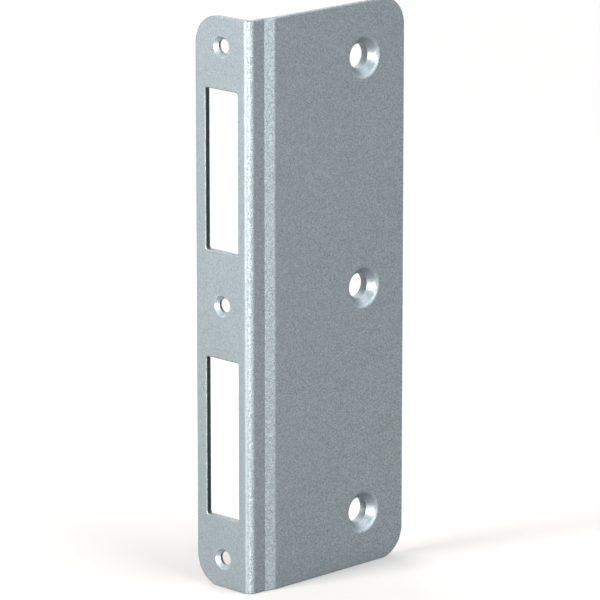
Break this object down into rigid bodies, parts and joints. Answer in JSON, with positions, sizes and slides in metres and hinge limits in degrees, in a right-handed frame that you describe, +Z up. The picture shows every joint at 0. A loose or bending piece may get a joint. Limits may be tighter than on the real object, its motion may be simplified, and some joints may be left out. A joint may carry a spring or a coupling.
{
  "type": "door strike plate",
  "caption": "Angled door strike plate of folded sheet steel, with latch and bolt openings and countersunk holes in its narrow leg and dimpled screw holes in its wide, joggled leg.",
  "frame": {"origin": "the foot of the upright plate, on the middle of its plan box", "axes": "+Z up along the plate's length, +X along the wide leg to its free edge, +Y along the narrow leg to its free edge; the wide leg's outer face looks along -Y and the narrow leg's along -X"},
  "size_m": [0.0834, 0.0304, 0.225],
  "materials": {
    "silver_lacquered_steel": "satin metallic with a fine flake"
  },
  "bodies": {
    "root": {"strike_plate": "silver_lacquered_steel"}
  },
  "joints": []
}
